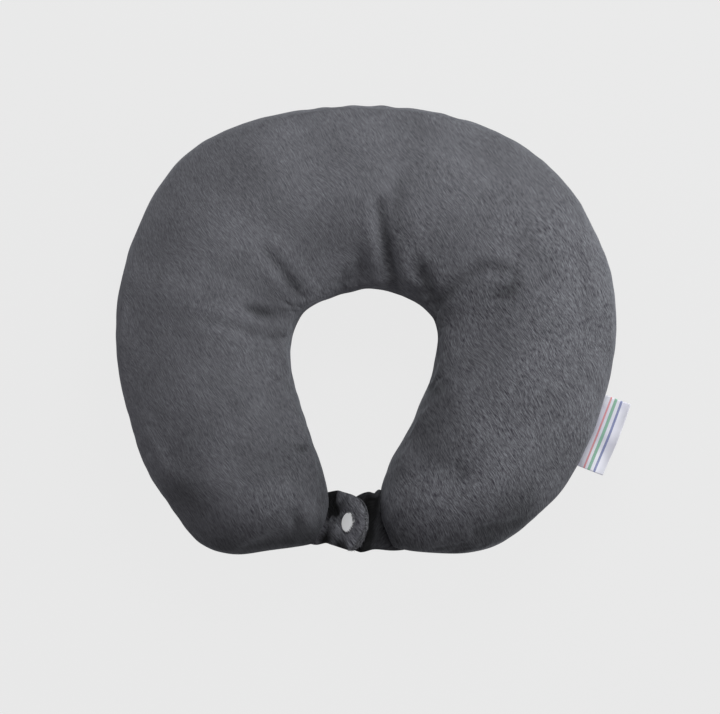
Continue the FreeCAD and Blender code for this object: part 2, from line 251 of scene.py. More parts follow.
# ---- the cover ----
def cover_points(s, turn, side):
    """Points of one panel: s along the tube, turn from the outer seam (0) to the inner (pi)."""
    outer, inner, across, way, half_height = (a[:, None] for a in tube_at(s))
    middle, half_wide = (outer + inner) / 2, np.linalg.norm(outer - inner, axis=-1) / 2
    share, rise = np.cos(turn)[None], np.sin(turn)[None]
    height = half_height * rise
    edge = np.sign(share) * np.abs(share) ** 4
    to_tip = np.minimum(s, LENGTH - s)[:, None]
    seam_x, seam_y = (middle[..., k] + across[..., k] * half_wide * np.sign(share) for k in (0, 1))
    seam_point = np.stack([seam_x, seam_y, np.full(height.shape, SEAM_Z)], -1)
    pucker = PUCKER * uneven(seam_point, PUCKERS) * np.exp(-height / PUCKER_FADE)
    sink = GROOVE * np.exp(-height / GROOVE_WIDE)
    reach = half_wide * share + edge * (pucker - sink)
    outer_bulge = np.where(s < LENGTH / 2, *OUTER_BULGE)[:, None]
    bulge = TIP_BULGE * (1 - share ** 2)
    bulge = bulge + outer_bulge * np.exp(-((share - BULGE_AT) / BULGE_REACH) ** 2)
    bulge = bulge * np.exp(-(to_tip / BULGE_FADE) ** 2)
    outward = np.where(s < LENGTH / 2, -1.0, 1.0)[:, None]
    plan = middle + across * reach[..., None] + way * (outward * bulge)[..., None]
    z = SEAM_Z + side * height
    return np.concatenate([plan, z[..., None]], -1)


def normals_of(points, flip):
    """Unit normals of a grid of points."""
    along, over = np.gradient(points, axis=0), np.gradient(points, axis=1)
    return unit(np.cross(along, over)) * flip


def settle(points, side):
    """The lower panel lies flat where it rests."""
    if side < 0:
        z = points[..., 2] - FLAT_AT
        points[..., 2] = (z + np.sqrt(z ** 2 + FLAT_SOFT)) / 2
    return points


def resample(count_to, count_from):
    """Weights that read a row of values at more places, smoothly."""
    at = np.linspace(0, count_from - 1, count_to)
    weights = np.zeros((count_to, count_from))
    base = np.clip(np.floor(at).astype(int), 0, count_from - 2)
    t = at - base
    cubic = [-0.5 * t + t ** 2 - 0.5 * t ** 3, 1 - 2.5 * t ** 2 + 1.5 * t ** 3,
             0.5 * t + 2 * t ** 2 - 1.5 * t ** 3, -0.5 * t ** 2 + 0.5 * t ** 3]
    rows = np.arange(count_to)
    for offset, weight in zip((-1, 0, 1, 2), cubic):
        np.add.at(weights, (rows, np.clip(base + offset, 0, count_from - 1)), weight)
    return weights


def mesh_object(name, points, faces, uv=None, fields=None, material=None):
    """A smooth-shaded object from points in mm, with a UV map in metres and named fields."""
    mesh = bpy.data.meshes.new(name)
    mesh.from_pydata((points.reshape(-1, 3) * MM).tolist(), [], faces)
    mesh.polygons.foreach_set("use_smooth", np.ones(len(mesh.polygons), bool))
    loops = np.zeros(len(mesh.loops), np.int32)
    mesh.loops.foreach_get("vertex_index", loops)
    if uv is not None:
        layer = mesh.uv_layers.new(name="cloth")
        layer.data.foreach_set("uv", (uv.reshape(-1, 2)[loops] * MM).astype(np.float32).ravel())
    for key, values in (fields or {}).items():
        attribute = mesh.attributes.new(key, "FLOAT", "POINT")
        attribute.data.foreach_set("value", np.ascontiguousarray(values.ravel(), np.float32))
    mesh.update()
    made = bpy.data.objects.new(name, mesh)
    bpy.context.scene.collection.objects.link(made)
    if material:
        mesh.materials.append(material)
    return made


def grid_faces(rows, columns, flip=False, around=False):
    """Quads between a grid's points; around also joins its last column to its first."""
    i, j = np.meshgrid(np.arange(rows - 1), np.arange(columns - (0 if around else 1)), indexing="ij")
    after = (j + 1) % columns
    here, ahead = i * columns, (i + 1) * columns
    quads = np.stack([here + j, ahead + j, ahead + after, here + after], -1).reshape(-1, 4)
    return (quads[:, ::-1] if flip else quads).tolist()


SIM_ROWS, SIM_COLUMNS = 132, 25
SIM_CAP = 3.6                           # furthest that the simulation may move a point
SIM_CALM = 22.0                         # its moves fade out over this height beside the seam
SIM_FRAMES = 20
HELD_BESIDE, HELD_BELOW = 0.6, 1.2      # points this near the seam's plane and the ground are held
CLOTH = dict(
    quality=6, mass=0.25, tension_stiffness=18, compression_stiffness=18, shear_stiffness=6,
    bending_stiffness=0.35, use_pressure=True, uniform_pressure_force=4.0, shrink_min=-0.03,
    vertex_group_mass="held")


def simulated_relief():
    """Moves of a coarse cover that is blown up as cloth, with its seams held, for both panels."""
    s, turn = along_tube(SIM_ROWS), np.linspace(0, math.pi, SIM_COLUMNS)
    grids = {side: settle(cover_points(s, turn, side), side) for side in (1, -1)}
    points = np.concatenate([grids[1].reshape(-1, 3), grids[-1].reshape(-1, 3)])
    _, first, index = np.unique(np.round(points, 2), axis=0, return_index=True, return_inverse=True)
    index = index.ravel()
    count = SIM_ROWS * SIM_COLUMNS
    faces = grid_faces(SIM_ROWS, SIM_COLUMNS) + [
        [v + count for v in face] for face in grid_faces(SIM_ROWS, SIM_COLUMNS, flip=True)]
    for row in (0, SIM_ROWS - 1):       # close the narrow ends of the tips
        for at in range(row * SIM_COLUMNS, (row + 1) * SIM_COLUMNS - 1):
            quad = [at, at + 1, at + 1 + count, at + count]
            faces.append(quad if row == 0 else quad[::-1])
    welded = []
    for face in faces:
        face = list(dict.fromkeys(int(index[v]) for v in face))
        if len(face) > 2:
            welded.append(face)
    cloth_points = points[first]
    piece = mesh_object("cover_sim", cloth_points, welded)
    held = piece.vertex_groups.new(name="held")
    seam = np.abs(cloth_points[:, 2] - SEAM_Z) < HELD_BESIDE
    resting = cloth_points[:, 2] < HELD_BELOW
    held.add(np.nonzero(seam | resting)[0].tolist(), 1.0, "REPLACE")
    cloth = piece.modifiers.new("Cloth", "CLOTH")
    for key, value in CLOTH.items():
        setattr(cloth.settings, key, value)
    cloth.settings.effector_weights.gravity = 0
    cloth.point_cache.frame_start, cloth.point_cache.frame_end = 1, SIM_FRAMES
    scene = bpy.context.scene
    for number in range(1, SIM_FRAMES + 1):
        scene.frame_set(number)
    moved = np.zeros(len(cloth_points) * 3, np.float32)
    evaluated = piece.evaluated_get(bpy.context.evaluated_depsgraph_get())
    evaluated.data.vertices.foreach_get("co", moved)
    bpy.data.objects.remove(piece)
    scene.frame_set(1)
    move = moved.reshape(-1, 3) / MM - cloth_points
    off_seam = np.clip(np.abs(cloth_points[:, 2:] - SEAM_Z) / SIM_CALM, 0, 1)
    move[:, 2] -= np.sign(cloth_points[:, 2] - SEAM_Z) * np.abs(move[:, 2]).mean()
    size = np.linalg.norm(move, axis=1, keepdims=True)
    move *= off_seam ** 1.5 * SIM_CAP * np.tanh(size / SIM_CAP) / np.maximum(size, 1e-6)
    move = move[index].reshape(2, SIM_ROWS, SIM_COLUMNS, 3)
    return {1: move[0], -1: move[1]}


RELIEF = simulated_relief()


def panel(side, rows, columns, inset=0.0):
    """One panel's grid of points, its flat cloth coordinates and its painted shade, 0 to 1."""
    s, turn = along_tube(rows), np.linspace(0, math.pi, columns)
    points = cover_points(s, turn, side)
    outer, inner, across, _, half_height = tube_at(s)
    if RELIEF:
        weights_along, weights_over = resample(rows, SIM_ROWS), resample(columns, SIM_COLUMNS)
        points = points + np.einsum("ai,ijk,bj->abk", weights_along, RELIEF[side], weights_over)
    normals = normals_of(points, -side)
    rise = np.sin(turn)[None] * np.minimum(half_height / ARM_HALF, 1)[:, None]
    # painted shade of the folds and spots, on the upper panel only
    push, dark = folds_and_painted_shade(points[..., :2]) if side > 0 else np.zeros((2, *rise.shape))
    # painted shade round the tips, on both panels
    near_tip = sum(np.exp(-(off / reach) ** 2) for off, reach in zip((s, LENGTH - s), TIP_SHADE_REACH))
    near_seam = np.exp(-((points[..., 2] - SEAM_Z) / TIP_SHADE_HEIGHT) ** 2)
    dark = np.clip(dark + TIP_SHADE * near_tip[:, None] * near_seam, 0, 1)
    push = push * np.clip(rise * FOLD_FADE, 0, 1)
    lumps = LUMP * uneven(points, LUMPS) * np.clip(rise * LUMP_FADE, 0, 1)
    points = points + normals * (push + lumps - inset)[..., None]
    points = settle(points, side)
    # flat cloth: the way over the tube is as long as the surface
    step = np.linalg.norm(np.diff(points, axis=1), axis=-1)
    over = np.concatenate([np.zeros((rows, 1)), np.cumsum(step, axis=1)], axis=1)
    over = over[:, [columns // 2]] - over
    flat = ((outer + inner) / 2)[:, None] + across[:, None] * over[..., None]
    return points, flat, dark


def tucked(points, flat, dark, side):
    """The same grid with its seam allowance turned inside all round."""
    _, _, across, way, _ = tube_at(along_tube(len(points)))
    across = across[:, None]
    for axis, from_first, from_last in ((1, -across, across), (0, way[0], -way[-1])):
        for depth, off in TUCKS:
            first, last = np.take(points, [0], axis), np.take(points, [-1], axis)
            first[..., :2] += from_first * depth
            last[..., :2] += from_last * depth
            first[..., 2] = last[..., 2] = SEAM_Z + side * off
            points = np.concatenate([first, points, last], axis)
            flat, dark = (np.concatenate([np.take(a, [0], axis), a, np.take(a, [-1], axis)], axis)
                          for a in (flat, dark))
    return points, flat, dark


# ---- materials ----
class Shader:
    """A small helper to build a material's nodes."""

    def __init__(self, name):
        self.material = bpy.data.materials.new(name)
        self.material.use_nodes = True
        self.tree = self.material.node_tree
        self.surface = self.tree.nodes["Principled BSDF"]

    def link(self, out, socket):
        if isinstance(out, bpy.types.NodeSocket):
            self.tree.links.new(out, socket)
        else:
            socket.default_value = out

    def add(self, kind, sockets=None, **settings):
        node = self.tree.nodes.new(kind)
        for key, value in settings.items():
            setattr(node, key, value)
        for key, value in (sockets or {}).items():
            self.link(value, node.inputs[key])
        return node

    def maths(self, operation, a, b=0.0, clamp=False):
        node = self.add("ShaderNodeMath", {0: a, 1: b}, operation=operation, use_clamp=clamp)
        return node.outputs[0]

    def vector(self, operation, a, b):
        return self.add("ShaderNodeVectorMath", {0: a, 1: b}, operation=operation).outputs[0]

    def noise(self, vector, scale, detail=2.0, rough=0.5):
        node = self.add("ShaderNodeTexNoise", {"Vector": vector, "Scale": scale, "Detail": detail,
                                               "Roughness": rough})
        return node.outputs["Fac"]

    def stretch(self, value, low, high, to_low=0.0, to_high=1.0):
        node = self.add("ShaderNodeMapRange", {"Value": value, "From Min": low, "From Max": high,
                                               "To Min": to_low, "To Max": to_high})
        return node.outputs["Result"]

    def mix(self, factor, a, b, blend="MIX"):
        node = self.add("ShaderNodeMix", data_type="RGBA", blend_type=blend)
        self.link(factor, node.inputs[0])
        self.link(a, node.inputs[6])
        self.link(b, node.inputs[7])
        return node.outputs[2]

    def bump(self, height, strength, distance, normal=None):
        sockets = {"Height": height, "Strength": strength, "Distance": distance}
        if normal is not None:
            sockets["Normal"] = normal
        return self.add("ShaderNodeBump", sockets).outputs["Normal"]

    def finished(self, sockets):
        """The material, once its surface has these values and links."""
        for key, value in sockets.items():
            self.link(value, self.surface.inputs[key])
        return self.material


# How dark and how light the pile's strokes are, with stops along the ramp between them.
PILE_RAMP = (0.0, (0.032, 0.029, 0.0365)), (0.48, (0.087, 0.0863, 0.0958)), (1.0, (0.147, 0.150, 0.163))
PILE_TURN = math.radians(-57)           # the way the pile is brushed, from +X
WANDER, WANDER_SCALE = 0.011, 26.0      # how far the strokes wander off that way, in m, and how often
# Fine and coarse strokes: how many per metre across and along the pile, a shift, and their share.
STROKES = (1500.0, 320.0, 0.0, 0.64), (860.0, 170.0, 3.7, 0.36)
CALM, MOTTLED = 0.29, 0.135             # spread of the strokes' tone where they are faint and strong


def plush(name, lightness=1.0, turn=PILE_TURN, streak=1.0, darkest_painted_shade=0.3, long=1.0, sheen=0.28):
    """Short brushed pile: leaning strokes with dark gaps, lighter and darker patches, and sheen.
    It reads the fields lie (how strongly the strokes show) and fold (painted shade, 0 to 1, that darkens
    its colour)."""
    shader = Shader(name)
    cloth = shader.add("ShaderNodeUVMap", uv_map="cloth").outputs[0]
    wander = shader.add("ShaderNodeTexNoise", {"Vector": cloth, "Scale": WANDER_SCALE, "Detail": 1.0})
    shifted = shader.vector("SUBTRACT", wander.outputs["Color"], (0.5, 0.5, 0.5))
    scaled = shader.add("ShaderNodeVectorMath", {0: shifted, "Scale": WANDER}, operation="SCALE")
    lain = shader.vector("ADD", cloth, scaled.outputs[0])
    turned = shader.add("ShaderNodeMapping", {"Vector": lain, "Rotation": (0, 0, turn)},
                        vector_type="TEXTURE")
    strokes, parts = [], []
    for across, along, shift, share in STROKES:
        sized = shader.vector("MULTIPLY", turned.outputs[0], (along / long, across / long, 1.0))
        strokes.append(shader.noise(shader.vector("ADD", sized, (shift, shift, shift)), 1.0, 2.5, 0.6))
        parts.append(shader.maths("MULTIPLY", strokes[-1], share))
    fine, coarse = strokes
    tuft = shader.maths("ADD", *parts)
    lie = shader.add("ShaderNodeAttribute", attribute_name="lie").outputs["Fac"]
    spread = shader.maths("MULTIPLY", shader.stretch(lie, 0.0, 1.0, CALM, MOTTLED), 2.0)
    tuft = shader.maths("DIVIDE", shader.maths("SUBTRACT", tuft, 0.5), spread)
    tuft = shader.maths("ADD", tuft, 0.5, True)
    patches = shader.stretch(shader.noise(cloth, 30.0, 3.0, 0.6), 0.3, 0.7, 0.86, 1.13)
    ramp = shader.add("ShaderNodeValToRGB", {"Fac": tuft})
    stops = ramp.color_ramp.elements
    stops.new(PILE_RAMP[1][0])
    for stop, (place, colour) in zip(stops, PILE_RAMP):
        stop.position, stop.color = place, (*colour, 1)
    # painted shade: the fold field darkens the pile's colour
    fold = shader.add("ShaderNodeAttribute", attribute_name="fold").outputs["Fac"]
    shade = shader.maths("MULTIPLY", patches, shader.stretch(fold, 0.0, 1.0, lightness, darkest_painted_shade * lightness))
    tint = shader.add("ShaderNodeCombineColor", {0: shade, 1: shade, 2: shade}).outputs[0]
    lumpy = shader.bump(shader.noise(cloth, 120.0, 2.0), 0.35, 0.0012)
    brushed = shader.bump(coarse, 0.4 * streak, 0.0009, lumpy)
    return shader.finished({
        "Base Color": shader.mix(1.0, ramp.outputs[0], tint, "MULTIPLY"),
        "Roughness": shader.stretch(tuft, 0.0, 1.0, 0.98, 0.8),
        "Specular IOR Level": 0.18,
        "Sheen Weight": sheen,
        "Sheen Roughness": 0.42,
        "Sheen Tint": (0.62, 0.64, 0.70, 1),
        "Normal": shader.bump(fine, 0.5 * streak, 0.0006, brushed),
    })


PLUSH = plush("plush_pile")
# The tabs' pile: its painted shade may darken it almost to black.
PLUSH_TAB = plush("plush_pile_tab", lightness=1.15, turn=math.radians(-35), streak=2.0, darkest_painted_shade=0.03,
                  long=1.3, sheen=0.05)


def simple_fabric(name, dark, light, scale, bump, roughness=0.85, sheen=0.0):
    """Loose fibre or thread: a grain between two colours."""
    shader = Shader(name)
    place = shader.add("ShaderNodeTexCoord").outputs["Object"]
    grain = shader.noise(place, scale, 3.0, 0.6)
    return shader.finished({
        "Base Color": shader.mix(shader.stretch(grain, 0.35, 0.65), (*dark, 1), (*light, 1)),
        "Roughness": roughness,
        "Sheen Weight": sheen,
        "Normal": shader.bump(grain, 0.5, bump),
    })


FIBRE = simple_fabric("hollow_fibre", (0.62, 0.62, 0.6), (0.86, 0.86, 0.84), 260.0, 0.003, 0.95)
TUFTS = simple_fabric("pile_tufts", (0.035, 0.035, 0.04), (0.18, 0.181, 0.196), 900.0, 0.0002, 0.9, 0.05)
THREAD = simple_fabric("sewing_thread", (0.035, 0.035, 0.04), (0.10, 0.10, 0.11), 2600.0, 0.0002)


def resin():
    """Moulded white snap resin: satin, with faint flow clouding."""
    shader = Shader("snap_resin")
    place = shader.add("ShaderNodeTexCoord").outputs["Object"]
    cloud = shader.noise(place, 180.0, 3.0)
    return shader.finished({
        "Base Color": shader.mix(cloud, (0.90, 0.90, 0.90, 1), (0.95, 0.95, 0.95, 1)),
        "Roughness": shader.stretch(shader.noise(place, 900.0), 0.3, 0.7, 0.3, 0.42),
        "Normal": shader.bump(shader.noise(place, 1400.0), 0.08, 0.0002),
        "Subsurface Weight": 0.12,
        "Subsurface Scale": 0.002,
        "Subsurface Radius": (1.0, 1.0, 1.0),
    })


RESIN = resin()


# The label's plain woven bands: place from the seam, half width, both in m, and colour.
BANDS = (
    (0.0032, 0.00055, (0.62, 0.16, 0.17, 1)),
    (0.0062, 0.0009, (0.10, 0.33, 0.18, 1)),
    (0.0097, 0.0007, (0.07, 0.10, 0.28, 1)),
)
RIB, WARP = 0.00045, 0.0006             # spacing of the weave along and across the ribbon, in m


def satin():
    """White satin ribbon with fine ribs and three plain woven bands; UV is across and along it."""
    shader = Shader("label_satin")
    cloth = shader.add("ShaderNodeUVMap", uv_map="cloth").outputs[0]
    parts = shader.add("ShaderNodeSeparateXYZ", {0: cloth})
    u, v = parts.outputs[0], parts.outputs[1]
    rib = shader.maths("SINE", shader.maths("MULTIPLY", v, 2 * math.pi / RIB))
    warp = shader.maths("SINE", shader.maths("MULTIPLY", u, 2 * math.pi / WARP))
    weave = shader.maths("MULTIPLY", rib, warp)
    cloud = shader.noise(cloth, 70.0, 2.0)
    base = shader.mix(shader.stretch(cloud, 0.35, 0.7), (0.58, 0.57, 0.66, 1), (0.74, 0.735, 0.79, 1))
    # painted shade towards the ribbon's rounded fold
    painted_shade_at_fold = shader.stretch(v, 0.0112, 0.0152, 0.0, 0.75)
    base = shader.mix(painted_shade_at_fold, base, (0.46, 0.455, 0.50, 1))
    for centre, half, colour in BANDS:
        away = shader.maths("ABSOLUTE", shader.maths("SUBTRACT", v, centre))
        inside = shader.maths("LESS_THAN", away, half)
        inside = shader.maths("MULTIPLY", inside, shader.stretch(weave, -0.6, 0.4, 0.55, 0.95))
        base = shader.mix(inside, base, colour)
    normal = shader.bump(weave, 0.25, 0.0001)
    return shader.finished({"Base Color": base, "Roughness": 0.38, "Sheen Weight": 0.2, "Normal": normal})


SATIN = satin()

# ---- cover pieces ----
ROWS, COLUMNS = ((560, 140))
# How strongly the pile's strokes show: in the middle, and how it grows to the right and the front,
# varies with the lumps, and grows in a band along the left edge.
LIE, LIE_PER_X, LIE_PER_Y, LIE_UNEVEN = 0.45, 160, 300, 0.2
LEFT_LIE, LEFT_LIE_X, LEFT_LIE_REACH = 0.5, 146, 26
for side, name, node in ((1, "front_cover", "front_panel"), (-1, "back_cover", "back_panel")):
    grid, flat, dark = tucked(*panel(side, ROWS, COLUMNS), side)
    x, y = grid[..., 0], grid[..., 1]
    lie = LIE + x / LIE_PER_X - y / LIE_PER_Y + LIE_UNEVEN * uneven(grid, LUMPS)
    lie = np.clip(lie + LEFT_LIE * np.exp(-((x + LEFT_LIE_X) / LEFT_LIE_REACH) ** 2), 0.2, 1)
    faces = grid_faces(*grid.shape[:2], flip=side < 0)
    # the fold field holds the painted shade of folds, spots and tips
    cover = mesh_object(name, grid, faces, flat, {"fold": dark, "lie": lie}, PLUSH)
    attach(cover, "pillow")
    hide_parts(node)


def fibre_core(rows=150, columns=40, inset=5.0, short=12):
    """The filling: the cover's own shape, a little smaller, closed at both ends."""
    top, low = panel(1, rows, columns, inset)[0], panel(-1, rows, columns, inset)[0]
    ring = np.concatenate([top[:, 1:-1], low[:, -2:0:-1]], 1)[short:-short]
    count = ring.shape[1]
    faces = grid_faces(len(ring), count, around=True)
    faces += [list(range(count)), [(len(ring) - 1) * count + j for j in reversed(range(count))]]
    return mesh_object("fibre_core", ring, faces, material=FIBRE)


fill = fibre_core()
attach(fill, "pillow")
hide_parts("fibre_fill")


# ---- tabs, in the frame of the snap: x up the slope, y across, z off the face ----
TAB_TURN, TAB_TILT = math.radians(-13), math.radians(50)
SNAP_AT = np.array([-9.4 + SHIFT[0], -118.2 + SHIFT[1], 51.0])
UP_SLOPE = np.array([math.cos(TAB_TURN) * math.cos(TAB_TILT), math.sin(TAB_TURN) * math.cos(TAB_TILT),
                     math.sin(TAB_TILT)])
ACROSS = np.array([-math.sin(TAB_TURN), math.cos(TAB_TURN), 0])
OFF_FACE = np.cross(UP_SLOPE, ACROSS)
TAB_LAYER, GAP = 2.1, 0.3               # a layer's thickness with its pile, and between the tabs
UPPER_HINGE, UNDER_HINGE = 18.0, 9.5    # from the snap to each bend
UPPER_REACH, UNDER_REACH = 15.9, 17.0   # from the snap to each round end
LEFT_SEAM = np.array([-27.7 + SHIFT[0], -115.5 + SHIFT[1], SEAM_Z])     # where each is sewn in
RIGHT_SEAM = np.array([9.35 + SHIFT[0], -117.0 + SHIFT[1], SEAM_Z])
# The way of each tab from inside its lobe, past the seam, towards its bend.
UPPER_SEWN = [LEFT_SEAM + (-7.0, 1.4, 1.0), LEFT_SEAM + (-1.0, 0, 0.3)]
UNDER_SEWN = [RIGHT_SEAM + (9.0, 1.4, 0), RIGHT_SEAM + (2.5, 0.4, 0.6), RIGHT_SEAM + (-5.0, -0.3, 6.5)]
UPPER_HOLES, UNDER_HOLES = (5.5, 4.6), (4.9, 5.6)       # for the snap, in the top and the lining
# Each tab's two edges: half width where it is sewn in, half width at its bend, where it starts to
# round off, and how square its corner is. Its sewn end is turned to lie along the lobe's seam.
UPPER_EDGES = (15.4, 16.7, -5.4, 1.8), (16.9, 16.4, 2.4, 2.4)
UNDER_EDGES = (16.4, 21.0, -6.0, 1.5), (19.6, 15.8, -1.0, 1.8)
UPPER_ROOT_TURN, UNDER_ROOT_TURN = math.radians(-9), math.radians(11)
EDGE_ROUND = 3.0                        # the tabs' rims are rounded over this width

# Swellings and hollows of each tab's outer layer: x, y, reach, height, in the tab's own frame.
UPPER_SWELL = [
    (-3.0, 12.5, 5.5, 1.2), (10.5, -1.0, 5.0, 1.2), (8.0, 8.0, 5.0, 0.8), (-10.0, -6.5, 5.0, 1.8),
    (-17.0, -3.0, 4.0, 1.4), (4.0, -11.5, 4.5, 0.9), (-13.0, 4.5, 3.8, -1.6), (-20.0, 9.5, 3.6, -1.2),
    (-1.0, -14.0, 3.2, -1.0), (-20.0, -11.0, 3.5, -1.0), (0.0, 0.0, 7.6, -0.9),
]
UNDER_SWELL = [(-17.0, 8.0, 5.0, 0.8), (-16.0, -7.0, 5.0, 0.7)]
# Painted shade on the tabs, where they lie in shade: the fold beside the left lobe, the upper tab's lower
# edge, and all over the under tab and the linings: x, y, reach, how dark.
UPPER_PAINTED_SHADE = [
    (-24.0, 14.0, 5.0, 1.7), (-22.0, 12.0, 3.6, 1.6), (-20.5, 6.0, 4.4, 1.6), (-17.0, 5.0, 3.6, 1.4),
    (-13.6, 3.6, 2.8, 1.1), (-10.0, 8.0, 3.4, 0.3), (-8.5, 0.5, 3.5, 0.4), (-22.0, 0.0, 3.4, 0.7),
    (-22.0, -14.0, 5.5, 1.0), (-16.0, -14.0, 4.0, 0.6), (-19.0, -5.0, 4.0, 0.5), (-4.0, -15.5, 3.6, 0.7),
    (2.0, -16.5, 3.2, 0.7), (-13.0, -1.5, 2.6, 0.35), (-12.0, -12.0, 4.5, 0.4), (-5.0, -12.5, 4.5, 0.35),
    (1.0, -13.0, 3.6, 0.3),
]
# the under tab and both linings are painted darker all over, as they lie in shade
UNDER_PAINTED_SHADE = [(0.0, 0.0, 80.0, 0.82)] + [(-10.0, y, 5.0, 0.4) for y in (-14.0, -5.0, 5.0, 14.0)]
THINNEST, PLUMPEST = -1.3, 2.2          # limits of a layer's hollows and swellings
TAB_UNEVEN = 0.3                        # how uneven a layer is besides
TAB_LIE = 0.9                           # how strongly its strokes show


def in_tab(x, z):
    """A point on a tab's middle line, x up the slope from the snap and z off the face."""
    return SNAP_AT + UP_SLOPE * x + OFF_FACE * z


def spots(x, y, places):
    """A sum of soft round spots."""
    return sum(height * np.exp(-((x - spot_x) ** 2 + (y - spot_y) ** 2) / reach ** 2)
               for spot_x, spot_y, reach, height in places)


def tab_points(way, middle_z, hinge, reach, edges, root_turn, sewn, rows=130, columns=90):
    """A tab's middle surface from inside its lobe, round the bend, to its round end past the snap:
    points, the way off its face, distance in from its edge, and the tab's own x and y."""
    spine = np.array(sewn + [in_tab(way * x, middle_z) for x in np.linspace(-hinge, reach, 10)])
    knots = way_along(spine)
    line = natural_spline(knots, spine)
    straight, end_rows = knots[-1] - reach, rows // 3
    walk = np.concatenate([np.linspace(0, straight, rows - end_rows, endpoint=False),
                           straight + reach * np.sin(np.linspace(0, 0.498 * math.pi, end_rows))])
    ahead = unit(line(np.clip(walk + 0.5, 0, knots[-1])) - line(np.clip(walk - 0.5, 0, knots[-1])))
    own_x = walk - straight
    share = np.clip(walk / (straight - hinge), 0, 1)
    share = share * share * (3 - 2 * share)
    turn = root_turn + (TAB_TURN - root_turn) * share
    across = np.stack([-np.sin(turn), np.cos(turn), 0 * turn], -1)
    off = np.cross(ahead, across) * way
    halves = []
    for root_half, half, start, power in edges:
        past = np.clip((own_x - start) / (reach - start), 0, 1)
        halves.append((root_half + (half - root_half) * share) * (1 - past ** power) ** (1 / power))
    high, low = halves
    over = ((high - low) / 2)[:, None] + ((high + low) / 2)[:, None] * np.sin(
        np.linspace(-math.pi / 2, math.pi / 2, columns))[None]
    rim_x, rim_y = np.concatenate([own_x, own_x]), np.concatenate([high, -low])
    own_x = own_x[:, None] + 0 * over
    to_edge = np.hypot(own_x[..., None] - rim_x, over[..., None] - rim_y).min(-1)
    return line(walk)[:, None] + across[:, None] * over[..., None], off[:, None], to_edge, own_x, over


def tab_layer(name, layer_side, shape, swell, dark, hole):
    """One plush layer of a tab, with a hole for the snap."""
    middle, off, to_edge, x, y = shape
    rise = np.sqrt(1 - (1 - np.clip(to_edge / EDGE_ROUND, 0, 1)) ** 2)
    plump = spots(x, y, swell) + TAB_UNEVEN * uneven(middle, PUCKERS)
    thick = (TAB_LAYER + np.clip(plump, THINNEST, PLUMPEST)) * rise
    points = middle + off * (layer_side * thick)[..., None]
    # the fold field is painted shade, from the spots given
    fold = np.clip(spots(x, y, dark), 0, 1)
    faces = grid_faces(*x.shape)
    if layer_side * off[-1, 0] @ OFF_FACE < 0:
        faces = [face[::-1] for face in faces]
    clear = (np.hypot(x, y) < hole).ravel()
    faces = [face for face in faces if not all(clear[v] for v in face)]
    lie = np.full(x.shape, TAB_LIE)
    return mesh_object(name, points, faces, np.stack([x, y], -1), {"fold": fold, "lie": lie}, PLUSH_TAB)


def tab(tab_name, way, middle_z, hinge, reach, edges, root_turn, sewn, layers):
    """Both layers of a tab, which bend between its sewn end and its end with the snap."""
    shape = tab_points(way, middle_z, hinge, reach, edges, root_turn, sewn)
    for suffix, layer_side, swell, dark, hole, nodes in layers:
        piece = tab_layer(f"{tab_name}_{suffix}", layer_side, shape, swell, dark, hole)
        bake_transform(piece)
        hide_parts(*nodes)
    return shape


upper_shape = tab(
    "upper_tab", 1, TAB_LAYER, UPPER_HINGE, UPPER_REACH, UPPER_EDGES, UPPER_ROOT_TURN,
    UPPER_SEWN,
    [("top", 1, UPPER_SWELL, UPPER_PAINTED_SHADE, UPPER_HOLES[0], ["upper_tab_face", "upper_tab_root"]),
     ("lining", -1, [], UNDER_PAINTED_SHADE, UPPER_HOLES[1], ["upper_tab_backing"])])
tab("under_tab", -1, -GAP - TAB_LAYER, UNDER_HINGE, UNDER_REACH, UNDER_EDGES, UNDER_ROOT_TURN,
    UNDER_SEWN,
    [("top", 1, UNDER_SWELL, UNDER_PAINTED_SHADE, UNDER_HOLES[0], ["under_tab_face", "under_tab_root"]),
     ("lining", -1, [], UNDER_PAINTED_SHADE, UNDER_HOLES[1], ["under_tab_backing"])])


def tapered(bases, tips, width, bow):
    """Closed three-sided tapered tufts of pile, each from a base to a tip, with a bend on the way."""
    points, faces = [], []
    for base, tip, wide, lift in zip(bases, tips, width, bow):
        way = unit(tip - base)
        side = unit(np.cross(way, (0.3, 0.2, 0.93)))
        above = np.cross(side, way)
        first = len(points)
        for centre, size in ((base, wide), ((base + tip) / 2 + above * lift, 0.75 * wide)):
            points += [centre - side * size, centre + side * size, centre + above * 0.7 * size]
        points.append(tip)
        a, b = first, first + 3
        faces.append([a, a + 1, a + 2])
        for k in range(3):
            after = (k + 1) % 3
            faces += [[a + after, a + k, b + k, b + after], [b + after, b + k, first + 6]]
    return np.array(points), faces


FRINGE_AT, FRINGE_REACH = 0.45, 0.09    # where the fringe is thickest, in shares of the rim
FRINGE_FROM, FRINGE_TO = 0.27, 0.72     # and where it ends
LONG_AT, LONG_REACH, LONG_TUFT = 0.43, 0.07, 2.2    # where its tufts are longest, and by how much
CAP_RIM = 6.4, 6.9                      # where tufts start round the cap, from its middle
CAP_RISE = 3.8                          # and off the tab's face


